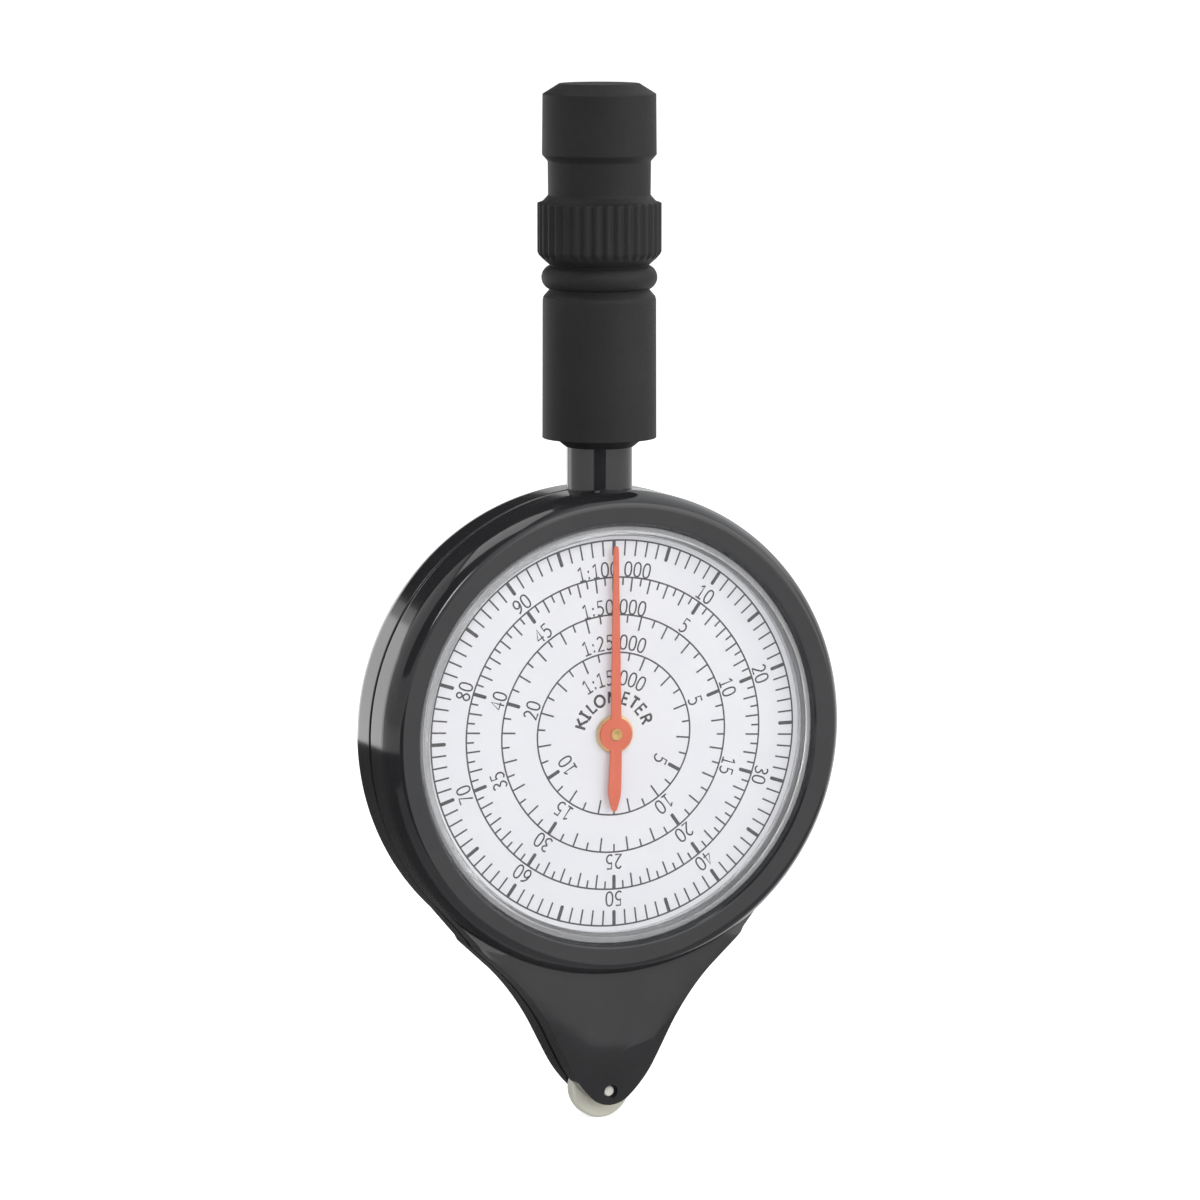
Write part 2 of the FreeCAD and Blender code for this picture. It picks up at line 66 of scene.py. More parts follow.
# The air lights everything evenly, and glossy parts mirror a studio that is bright to the right
# and in front and dark at the left and behind.
air = bpy.data.worlds.new("studio_air")
scene.world = air
air.use_nodes = True
sky = air.node_tree
background = sky.nodes["Background"]
background.inputs["Color"].default_value = (0.98, 0.99, 1.0, 1)
even_light = 0.48
direction = sky.nodes.new("ShaderNodeTexCoord").outputs["Generated"]
towards = sky.nodes.new("ShaderNodeVectorMath")
towards.operation = "DOT_PRODUCT"
towards.inputs[1].default_value = (0.93, -0.37, 0)
sky.links.new(direction, towards.inputs[0])
mirrored = sky.nodes.new("ShaderNodeMapRange")
for limit, value in (("From Min", -0.05), ("From Max", 0.3), ("To Min", 0.03), ("To Max", 1.3)):
    mirrored.inputs[limit].default_value = value
sky.links.new(towards.outputs["Value"], mirrored.inputs["Value"])
ray = sky.nodes.new("ShaderNodeLightPath").outputs
change = reckon(sky, "SUBTRACT", mirrored.outputs[0], even_light)
mirror_part = reckon(sky, "MULTIPLY", change, ray["Is Glossy Ray"])
seen_part = reckon(sky, "MULTIPLY", ray["Is Camera Ray"], 1 - even_light)
sky_strength = reckon(sky, "ADD", reckon(sky, "ADD", mirror_part, seen_part), even_light)
sky.links.new(sky_strength, background.inputs["Strength"])


def deselect_all():
    """Operators act on all that is selected, so each piece starts with nothing selected."""
    bpy.ops.object.select_all(action="DESELECT")


def pick(piece):
    deselect_all()
    piece.select_set(True)
    bpy.context.view_layer.objects.active = piece


def edit(piece):
    pick(piece)
    bpy.ops.object.mode_set(mode="EDIT")


def leave_edit():
    bpy.ops.object.mode_set(mode="OBJECT")


def edit_faces(piece, wanted):
    """Opens a piece with only those faces selected that the test wants."""
    edit(piece)
    bpy.ops.mesh.select_mode(type="FACE")
    bpy.ops.mesh.select_all(action="DESELECT")
    leave_edit()
    for face in piece.data.polygons:
        face.select = wanted(face)
    bpy.ops.object.mode_set(mode="EDIT")


deselect_all()
bpy.ops.mesh.primitive_circle_add(vertices=128, radius=3.0, fill_type="NGON")
table = bpy.context.object
table.name = "table_and_wall"
edit(table)
bpy.ops.mesh.select_mode(type="EDGE")
bpy.ops.mesh.select_all(action="DESELECT")
bpy.ops.mesh.select_non_manifold()
bpy.ops.mesh.extrude_edges_move(TRANSFORM_OT_translate={"value": (0, 0, 0.85)})
leave_edit()

table_paper = bpy.data.materials.new("table_paper")
table_paper.use_nodes = True
tree = table_paper.node_tree
tree.nodes.clear()
output = tree.nodes.new("ShaderNodeOutputMaterial")
both = tree.nodes.new("ShaderNodeAddShader")
paper = tree.nodes.new("ShaderNodeBsdfDiffuse")
paper.inputs["Color"].default_value = (0.8, 0.8, 0.8, 1)
lit = tree.nodes.new("ShaderNodeEmission")
ray = tree.nodes.new("ShaderNodeLightPath").outputs
seen = reckon(tree, "MAXIMUM", ray["Is Camera Ray"], ray["Is Transmission Ray"])
seen = reckon(tree, "MAXIMUM", seen, reckon(tree, "MULTIPLY", ray["Is Glossy Ray"], 0.6))
tree.links.new(reckon(tree, "MULTIPLY", seen, 0.68), lit.inputs["Strength"])
tree.links.new(paper.outputs[0], both.inputs[0])
tree.links.new(lit.outputs[0], both.inputs[1])
tree.links.new(both.outputs[0], output.inputs["Surface"])
table.data.materials.append(table_paper)


def softbox(name, direction, distance, width, height, radiance):
    """A square lamp that faces the dial from a direction, with a plain brightness per area."""
    aim = Vector((0, 0, 0.036))
    place = aim + Vector(direction).normalized() * distance
    bpy.ops.object.light_add(type="AREA", location=place)
    lamp = bpy.context.object
    lamp.name = name
    lamp.data.shape = "RECTANGLE"
    lamp.data.size = width
    lamp.data.size_y = height
    lamp.data.energy = radiance * math.pi * width * height
    lamp.rotation_euler = (place - aim).to_track_quat("Z", "Y").to_euler()
    return lamp


softbox("softbox_key", (-0.40, -0.78, 0.48), 1.2, 0.3, 0.3, 11)
softbox("softbox_overhead", (-0.27, 0.20, 0.94), 1.2, 0.6, 0.72, 2.6)
softbox("softbox_right", (0.62, -0.70, 0.35), 1.3, 1.5, 1.2, 1.5)


def reflector(name, corners, brightness):
    """A card beside the object that only reflections show: a flat outline of corners in metres."""
    deselect_all()
    bpy.ops.mesh.primitive_circle_add(vertices=len(corners), radius=1, fill_type="NGON")
    card = bpy.context.object
    card.name = name
    for corner, place in zip(card.data.vertices, corners):
        corner.co = place
    card.visible_camera = card.visible_diffuse = card.visible_transmission = False
    card.visible_shadow = card.visible_volume_scatter = False
    coating = bpy.data.materials.new(name + "_coating")
    coating.use_nodes = True
    layers = coating.node_tree
    layers.nodes.clear()
    glow = layers.nodes.new("ShaderNodeEmission")
    glow.inputs["Strength"].default_value = brightness
    out = layers.nodes.new("ShaderNodeOutputMaterial")
    layers.links.new(glow.outputs[0], out.inputs["Surface"])
    card.data.materials.append(coating)


def ring_sector(start, end, near, far, height=0.0005, steps=12):
    """Corners of part of a flat ring on the table; angles run from the front to the right."""
    turns = [math.radians(start + (end - start) * k / steps) for k in range(steps + 1)]
    outer = [(far * math.sin(t), -far * math.cos(t), height) for t in turns]
    inner = [(near * math.sin(t), -near * math.cos(t), height) for t in reversed(turns)]
    return outer + inner


def standing_card(start, end, distance, low, high):
    """Corners of an upright card between two angles, which run as in ring_sector."""
    (ax, ay), (bx, by) = [
        (distance * math.sin(math.radians(t)), -distance * math.cos(math.radians(t)))
        for t in (start, end)
    ]
    return [(ax, ay, low), (bx, by, low), (bx, by, high), (ax, ay, high)]


reflector("black_card_by_camera", ring_sector(-40, 2, 0.005, 0.8), 0)
reflector("dark_card_left_and_back", ring_sector(-200, -40, 0.005, 0.215), 0.07)

# Three grey cards lie around the foot of the beak, with a dark gap between the front two.
grey, above_table = 0.45, 0.001
for card_name, corners in (
    ("grey_card_at_foot", [(-0.1, 0), (-0.1, -0.027), (0.1, -0.027), (0.1, 0)]),
    (
        "grey_card_left_of_foot",
        [(-0.1, -0.027), (-0.1, -0.075), (0.015, -0.075), (0.0075, -0.027)],
    ),
    (
        "grey_card_right_of_foot",
        [(0.0135, -0.027), (0.0425, -0.075), (0.1, -0.075), (0.1, -0.027)],
    ),
):
    reflector(card_name, [(x, y, above_table) for x, y in corners], grey)
reflector("white_card_behind", standing_card(-180, -137, 0.24, 0, 0.095), 2.0)
reflector("pale_card_left", standing_card(-150, -95, 0.26, 0.07, 0.32), 0.9)

# The case: two black glossy mouldings that meet in the middle, each a ring with a rounded
# shoulder and flat bezel, half of the beak and half of the stem, with edges broken by the tool.
mm = 0.001
dial_height = 35.8421 * mm
dial_centre = Vector((0, 0, dial_height))
# How far the train's other axes lie below the dial's centre, in mm.
second_drop, idler_drop, axle_drop = 21.0, 28.8, 33.0


def turn(name, rings, sides, drop=0.0, upright=False):
    """A turned body from rings of (radius, place on the axis) in mm, each extruded from the last.

    The axis is the dial's or one below it, towards the front, or the handle's if upright."""
    centre = dial_centre - Vector((0, 0, drop * mm))

    def on_axis(place):
        return Vector((0, 0, place * mm)) if upright else Vector((0, -place * mm, 0))

    deselect_all()
    radius, place = rings[0]
    bpy.ops.mesh.primitive_circle_add(
        vertices=sides,
        radius=radius * mm,
        fill_type="NOTHING",
        location=centre + on_axis(place),
        rotation=(0, 0, 0) if upright else (math.radians(90), 0, 0),
    )
    piece = bpy.context.object
    piece.name = piece.data.name = name
    bpy.ops.object.transform_apply(location=True, rotation=True, scale=True)
    edit(piece)
    bpy.ops.mesh.select_mode(type="EDGE")
    bpy.ops.mesh.select_all(action="SELECT")
    for (old_radius, old_place), (radius, place) in zip(rings, rings[1:]):
        step = on_axis(place) - on_axis(old_place)
        bpy.ops.mesh.extrude_edges_move(TRANSFORM_OT_translate={"value": step})
        share = radius / old_radius
        around = (share, share, 1) if upright else (share, 1, share)
        bpy.ops.transform.resize(value=around, center_override=centre + on_axis(place))
    bpy.ops.mesh.select_all(action="SELECT")
    bpy.ops.mesh.remove_doubles(threshold=1e-6)
    bpy.ops.mesh.fill_holes(sides=0)
    bpy.ops.mesh.select_all(action="SELECT")
    bpy.ops.mesh.normals_make_consistent(inside=False)
    leave_edit()
    return piece


def apply_modifier(piece, kind, **settings):
    """Adds one modifier and applies it."""
    pick(piece)
    bpy.ops.object.modifier_add(type=kind)
    modifier = piece.modifiers[-1]
    for setting, value in settings.items():
        setattr(modifier, setting, value)
    bpy.ops.object.modifier_apply(modifier=modifier.name)


def break_edges(piece, width, segments=3, angle=30):
    apply_modifier(
        piece,
        "BEVEL",
        width=width * mm,
        segments=segments,
        limit_method="ANGLE",
        angle_limit=math.radians(angle),
        miter_outer="MITER_ARC",
        use_clamp_overlap=True,
    )


def smooth(piece, angle=35):
    """Shades a piece smooth but for its sharp edges, and keeps its large flat faces flat."""
    pick(piece)
    bpy.ops.object.shade_smooth_by_angle(angle=math.radians(angle))
    apply_modifier(piece, "WEIGHTED_NORMAL", keep_sharp=True)


def fit_together(piece, other, how):
    """Unites, cuts or intersects a piece with another one, which is used up."""
    apply_modifier(piece, "BOOLEAN", operation=how, object=other, solver="EXACT")
    bpy.data.objects.remove(other)


def bore(piece, radius, low, high, drop=0.0, sides=64):
    """Cuts a round hole between two depths, below the dial centre by drop."""
    fit_together(piece, turn("bore", [(radius, low), (radius, high)], sides, drop), "DIFFERENCE")


def turned_over(piece, name):
    """The same piece for the other face: a copy with its own mesh, half a turn about the handle."""
    pick(piece)
    bpy.ops.object.duplicate()
    twin = bpy.context.object
    twin.name = twin.data.name = name
    edit(twin)
    bpy.ops.mesh.select_all(action="SELECT")
    bpy.ops.transform.resize(value=(-1, -1, 1), center_override=(0, 0, 0))
    leave_edit()
    return twin


case_radius = 22.0


def shoulder_rings(steps=8):
    """The shoulder leaves the wall as an arc and ends in a small chamfer at the flat bezel."""
    foot, top, step_in = 2.8, 4.9, 0.8
    rise = top - foot
    bend = (rise**2 + step_in**2) / (2 * step_in)
    turns = [math.asin(rise / bend) * k / steps for k in range(steps + 1)]
    return [
        (case_radius - bend * (1 - math.cos(t)), foot + bend * math.sin(t)) for t in turns
    ]


# From the seam's groove up the wall and shoulder to the flat bezel, then down its lip.
ring_profile = [
    (21.68, 0.0),
    (21.68, 0.19),
    (21.92, 0.2),
    (21.98, 0.23),
    (case_radius, 0.29),
    (case_radius, 0.36),
    *shoulder_rings(),
    (21.12, 4.98),
    (21.03, 5.05),
    (20.92, 5.1),
    (20.8, 5.135),
    (20.66, 5.15),
    (20.5, 5.15),
    (19.45, 5.15),
    (19.3, 5.15),
    (19.18, 5.12),
    (18.87, 4.72),
    (18.85, 4.66),
    (18.85, 3.2),
]
front_case = turn("front_case_moulding", ring_profile, 256)


def outline_piece(name, points, low, high):
    """A flat plate cut to an outline of (side, drop) points in mm, between two depths."""
    deselect_all()
    bpy.ops.mesh.primitive_circle_add(
        vertices=len(points),
        radius=mm,
        fill_type="NGON",
        location=dial_centre,
        rotation=(math.radians(90), 0, 0),
    )
    plate = bpy.context.object
    plate.name = plate.data.name = name
    bpy.ops.object.transform_apply(location=True, rotation=True, scale=True)
    for corner, (side, drop) in zip(plate.data.vertices, points):
        corner.co = dial_centre + Vector((side, -low, -drop)) * mm
    edit(plate)
    bpy.ops.mesh.select_all(action="SELECT")
    bpy.ops.mesh.extrude_region_move(
        TRANSFORM_OT_translate={"value": (0, (low - high) * mm, 0)}
    )
    bpy.ops.mesh.select_all(action="SELECT")
    bpy.ops.mesh.normals_make_consistent(inside=False)
    leave_edit()
    return plate


def arc(start, middle, end, steps):
    """Points of the circle through three places, without the first one."""
    (ax, ay), (bx, by), (cx, cy) = start, middle, end
    twice = 2 * (ax * (by - cy) + bx * (cy - ay) + cx * (ay - by))
    ux = (
        (ax * ax + ay * ay) * (by - cy)
        + (bx * bx + by * by) * (cy - ay)
        + (cx * cx + cy * cy) * (ay - by)
    ) / twice
    uy = (
        (ax * ax + ay * ay) * (cx - bx)
        + (bx * bx + by * by) * (ax - cx)
        + (cx * cx + cy * cy) * (bx - ax)
    ) / twice
    radius = math.hypot(ax - ux, ay - uy)
    first = math.atan2(ay - uy, ax - ux)
    sweep = math.atan2(cy - uy, cx - ux) - first
    half = math.atan2(by - uy, bx - ux) - first
    sweep = (sweep + math.pi) % (2 * math.pi) - math.pi
    half = (half + math.pi) % (2 * math.pi) - math.pi
    if half * sweep < 0:
        sweep -= math.copysign(2 * math.pi, sweep)
    return [
        (
            ux + radius * math.cos(first + sweep * k / steps),
            uy + radius * math.sin(first + sweep * k / steps),
        )
        for k in range(1, steps + 1)
    ]


beak_face, tip_drop = 3.3, 34.25


def beak_outline():
    """Right side of the beak from the ring down to the tip, then the left side back up."""
    right = [(15.9, 13.6), (15.9, 15.2), (12.89, 18.6), (12.61, 19.11), (9.5, 21.99)]
    right += arc((9.5, 21.99), (7.02, 25.0), (5.3, 28.0), 14)
    right += [(4.2, 30.21)]
    right += arc((4.2, 30.21), (3.05, 32.09), (1.7, 33.6), 8)
    tip = arc((1.7, 33.6), (0, tip_drop), (-1.7, 33.6), 10)[:-1]
    left = [(-side, drop) for side, drop in reversed(right)]
    return right + tip + left


edge_back, slot_depth, slot_reach = 0.42, 0.41, 0.6
beak = outline_piece("beak", beak_outline(), edge_back, beak_face)

# The seam side of the beak stands back at its edge, which leaves a slot between the halves.
edit_faces(beak, lambda face: face.normal.y > 0.9)
bpy.ops.mesh.inset(thickness=slot_reach * mm, depth=0)
bpy.ops.mesh.extrude_region_move(TRANSFORM_OT_translate={"value": (0, slot_depth * mm, 0)})
leave_edit()

# The panel is flat and its rim falls away at a low angle, like the top of a shallow cone.
above_axle, rim_foot, widest, flat = 3.1, 1.8, 15.32, 5.4
panel_middle = axle_drop - above_axle - flat


def panel_points(radius, steps=16):
    """The flat panel's V: an arc near the tip with straight sides that run up past the ring."""
    half = math.radians(46)
    turns = [half - 2 * half * k / steps for k in range(steps + 1)]
    foot = [(radius * math.sin(t), panel_middle + radius * math.cos(t)) for t in turns]
    side, drop = foot[0]
    top = (side + tip_drop * math.cos(half), drop - tip_drop * math.sin(half))
    return [top, *foot, (-top[0], top[1])]


wedge = outline_piece("wedge", panel_points(widest), rim_foot, beak_face)
edit_faces(wedge, lambda face: face.normal.y < -0.9)
bpy.ops.transform.resize(
    value=(flat / widest, 1, flat / widest),
    center_override=dial_centre + Vector((0, -beak_face, -panel_middle)) * mm,
)
leave_edit()
below = [(30, 0), (30, 40), (-30, 40), (-30, 0)]
base = outline_piece("wedge_base", below, -1, rim_foot + 0.0001)
fit_together(wedge, base, "UNION")
fit_together(beak, wedge, "INTERSECT")
break_edges(beak, 0.3, 4, 14)

# The beak leaves the well for the dial and its crystal open.
bore(beak, 18.9, 3.2, 6, sides=128)

# Half of the stem, flat on the seam side, where it stops just short of the other half.
stem_radius, stem_foot, stem_top, seam_gap = 2.95, 20.6, 54.83, 0.01
stem = turn("stem", [(stem_radius, stem_foot), (stem_radius, stem_top)], 96, upright=True)
edit(stem)
bpy.ops.mesh.select_all(action="SELECT")
bpy.ops.mesh.bisect(
    plane_co=(0, -seam_gap * mm, 0), plane_no=(0, 1, 0), use_fill=True, clear_outer=True
)
leave_edit()
break_edges(stem, 0.09, 3, 40)

fit_together(front_case, beak, "UNION")
fit_together(front_case, stem, "UNION")

# Both halves have the train's cavity and pockets, the bush hole, and the holes for the pins.
for radius, low, high, drop, sides in (
    (20.4, -1, 2.4, 0, 192),  # the train's cavity
    (1.2, 0, 4, 0, 64),  # the bush
    (5.41, -1, 1.9, second_drop, 96),  # the second gear
    (3.61, -1, 1.9, idler_drop, 64),  # the idler
    (0.53, -1, 4, axle_drop, 64),  # the wheel's axle
    (0.68, 2.35, 4, axle_drop, 64),  # the sunk hole around the axle's end
    (0.42, -1, 2.6, idler_drop, 32),  # the idler's pin
    (0.48, -1, 3.3, second_drop, 32),  # the second arbor
):
    bore(front_case, radius, low, high, drop, sides)
rear_case = turned_over(front_case, "rear_case_moulding")

# The wheel's pocket is deeper in the rear half, and the front half holds its pinion.
wheel_pocket, pinion_pocket = 3.142, 1.825
bore(front_case, wheel_pocket, -1, 0.8, axle_drop)
bore(front_case, pinion_pocket, -1, 1.9, axle_drop)
bore(rear_case, wheel_pocket, -1.2, 1, axle_drop)

# Pegs of the rear half locate it in holes of the front half, in the beak and in the stem.
peg_radius, peg_root, peg_end = 0.8, -0.5, 1.5
for side, drop in [(8.61, 20.5), (-8.61, 20.5), (0, -31.6), (0, -49.6)]:
    for half, how in ((front_case, "DIFFERENCE"), (rear_case, "UNION")):
        peg = turn("peg", [(peg_radius, peg_root), (peg_radius, peg_end)], 32, drop)
        edit(peg)
        bpy.ops.mesh.select_all(action="SELECT")
        bpy.ops.transform.translate(value=(side * mm, 0, 0))
        leave_edit()
        fit_together(half, peg, how)


def finish(name, colours, roughness, grain, relief, patch=150, axis_drop=None, **values):
    """A surface whose colour and roughness drift in patches, with a fine relief on top.

    With axis_drop the relief is the tool's rings about an axis that far below the dial centre."""
    made = bpy.data.materials.new(name)
    made.use_nodes = True
    shades = made.node_tree
    surface = shades.nodes["Principled BSDF"]
    for socket, value in values.items():
        surface.inputs[socket.replace("_", " ")].default_value = value
    place = shades.nodes.new("ShaderNodeTexCoord")
    centred = shades.nodes.new("ShaderNodeMapping")
    height = dial_height - (axis_drop or 0) * mm
    centred.inputs["Location"].default_value = (0, 0, -height)
    shades.links.new(place.outputs["Object"], centred.inputs["Vector"])
    patches = shades.nodes.new("ShaderNodeTexNoise")
    patches.inputs["Scale"].default_value = patch
    patches.inputs["Detail"].default_value = 4
    shades.links.new(centred.outputs[0], patches.inputs["Vector"])
    tint = shades.nodes.new("ShaderNodeValToRGB")
    tint.color_ramp.elements[0].position = 0.3
    tint.color_ramp.elements[0].color = (*colours[0], 1)
    tint.color_ramp.elements[1].position = 0.7
    tint.color_ramp.elements[1].color = (*colours[1], 1)
    shades.links.new(patches.outputs["Fac"], tint.inputs["Fac"])
    shades.links.new(tint.outputs["Color"], surface.inputs["Base Color"])
    fine = shades.nodes.new("ShaderNodeTexNoise")
    fine.inputs["Scale"].default_value = grain
    fine.inputs["Detail"].default_value = 3
    shades.links.new(centred.outputs[0], fine.inputs["Vector"])
    height_source = fine.outputs["Fac"]
    if axis_drop is not None:
        rings = shades.nodes.new("ShaderNodeTexWave")
        rings.wave_type = "RINGS"
        rings.rings_direction = "Y"
        rings.inputs["Scale"].default_value = grain
        rings.inputs["Distortion"].default_value = 1.5
        rings.inputs["Detail"].default_value = 2
        shades.links.new(centred.outputs[0], rings.inputs["Vector"])
        height_source = rings.outputs["Fac"]
    dullness = shades.nodes.new("ShaderNodeMapRange")
    dullness.inputs["To Min"].default_value = roughness[0]
    dullness.inputs["To Max"].default_value = roughness[1]
    shades.links.new(height_source, dullness.inputs["Value"])
    shades.links.new(dullness.outputs[0], surface.inputs["Roughness"])
    bump = shades.nodes.new("ShaderNodeBump")
    bump.inputs["Strength"].default_value = 1
    bump.inputs["Distance"].default_value = relief * mm
    shades.links.new(height_source, bump.inputs["Height"])
    shades.links.new(bump.outputs[0], surface.inputs["Normal"])
    return made


case_plastic = finish(
    "black_moulded_plastic",
    [(0.017, 0.017, 0.019), (0.024, 0.024, 0.026)],
    (0.07, 0.12),
    grain=1400,
    relief=0.0004,
)
for half, node in ((front_case, "front_case"), (rear_case, "rear_case")):
    edit(half)
    bpy.ops.mesh.select_all(action="SELECT")
    bpy.ops.mesh.remove_doubles(threshold=2e-6)
    bpy.ops.mesh.dissolve_degenerate(threshold=2e-6)
    leave_edit()
    smooth(half, 32)
    half.data.materials.append(case_plastic)
    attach(half, "case")
    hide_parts(node)

# The measuring train: cut brass gears on ground steel pins and two flanged brass bushes that
# are pressed into the halves. The machined parts keep their shapes and get tool marks.
tool_ring = (0.72, 0.55, 0.29), (0.80, 0.64, 0.36)
ground = (0.66, 0.65, 0.62), (0.75, 0.74, 0.71)


def brass(name, axis_drop=0.0):
    return finish(name, tool_ring, (0.18, 0.36), 1600, 0.0006, 260, axis_drop, Metallic=1)


def steel(name, axis_drop=0.0):
    return finish(name, ground, (0.16, 0.3), 2600, 0.0003, 400, axis_drop, Metallic=1)


def refinish(names, material):
    """Gives machined parts that stay as they are another finish."""
    for name in names:
        nodes[name].material_slots[0].material = material


centre_brass = brass("turned_brass_centre")
refinish(["centre_gear", "front_bush", "rear_bush"], centre_brass)
refinish(["second_gear", "second_pinion"], brass("turned_brass_second", second_drop))
refinish(["idler_gear"], brass("turned_brass_idler", idler_drop))
refinish(["second_arbor"], steel("ground_steel_second", second_drop))
refinish(["idler_pin"], steel("ground_steel_idler", idler_drop))

# The tracing wheel: a roller turned from ivory nylon with rounded rims and a fine matt tread,
# and in one with it a pinion and a pin of the same nylon that ends inside the beak's holes.
ivory = (0.74, 0.725, 0.62), (0.78, 0.765, 0.66)
nylon = finish("ivory_nylon", ivory, (0.42, 0.55), 2200, 0.002, 300)
wheel_front, wheel_back, rounding = 0.6, -1.0, 0.35
rim_turns = [math.radians(15 * k) for k in range(7)]
rim_round = [(2.492 + rounding * math.sin(t), 0.25 + rounding * math.cos(t)) for t in rim_turns]
wheel_profile = [
    (0.5, wheel_front),
    (1.5, wheel_front),
    *rim_round,
    *[(radius, wheel_front + wheel_back - place) for radius, place in reversed(rim_round)],
    (0.5, wheel_back),
    (0.5, wheel_front),
]
tracing_wheel = turn("tracing_wheel_roller", wheel_profile, 128, axle_drop)
smooth(tracing_wheel, 30)
tracing_wheel.data.materials.append(nylon)
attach(tracing_wheel, "wheel_set")
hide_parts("tracing_wheel")
refinish(["wheel_pinion"], nylon)

axle_profile = [(0.42, -2.35), (0.5, -2.27), (0.5, 2.27), (0.42, 2.35)]
wheel_axle = turn("wheel_axle_pin", axle_profile, 64, axle_drop)
smooth(wheel_axle, 30)
# The pin is painted paler than the wheel's nylon, to make up for the shade it gets in its sunk hole:
# painted light.
ivory_lightened_for_hole_shade = (0.88, 0.865, 0.77), (0.93, 0.91, 0.82)
wheel_axle.data.materials.append(
    finish("nylon_pin_painted_light", ivory_lightened_for_hole_shade, (0.5, 0.65), 5200, 0.003, 900)
)
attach(wheel_axle, "wheel_set")
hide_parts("wheel_axle")

# The dials: white discs, printed with four rings of kilometre marks for the usual map scales,
# each numbered clockwise from the top. The ink is a thin dark film that stands on the disc.
white = (0.83, 0.83, 0.87), (0.87, 0.87, 0.90)
dial_white = finish("dial_white", white, (0.42, 0.55), 3000, 0.0008, 200)
refinish(["front_dial", "rear_dial"], dial_white)
ink = finish(
    "ink_for_print_and_rim_shade", [(0.062, 0.060, 0.063), (0.085, 0.082, 0.086)], (0.45, 0.6), 9000, 0.001, 2500
)
dial_face = 3.5
ink_height = 0.012


def marks(count, outer, length, width, start=0.0, rounded=False):
    """A ring of marks that hang from a circle, drawn flat at the origin; start is in steps."""
    angle = 2 * math.pi * start / count
    middle = (outer - length / 2) * mm
    deselect_all()
    bpy.ops.mesh.primitive_plane_add(
        size=1,
        location=(math.sin(angle) * middle, math.cos(angle) * middle, 0),
        rotation=(0, 0, -angle),
    )
    mark = bpy.context.object
    mark.scale = (width * mm, length * mm, 1)
    bpy.ops.object.transform_apply(location=True, rotation=True, scale=True)
    edit(mark)
    bpy.ops.mesh.select_mode(type="VERT")
    if rounded:
        bpy.ops.mesh.select_all(action="DESELECT")
        leave_edit()
        for corner in mark.data.vertices:
            corner.select = corner.co.length < middle
        bpy.ops.object.mode_set(mode="EDIT")
        bpy.ops.mesh.bevel(offset=width * 0.46 * mm, segments=4, affect="VERTICES")
    bpy.ops.mesh.select_all(action="SELECT")
    thickness = ink_height * (1.2 if rounded else 1) * mm
    bpy.ops.mesh.extrude_region_move(TRANSFORM_OT_translate={"value": (0, 0, thickness)})
    bpy.ops.mesh.select_all(action="SELECT")
    bpy.ops.mesh.normals_make_consistent(inside=False)
    bpy.ops.mesh.spin(
        steps=count - 1,
        dupli=True,
        angle=2 * math.pi * (count - 1) / count,
        use_auto_merge=False,
        center=(0, 0, 0),
        axis=(0, 0, 1),
    )
    leave_edit()
    return mark


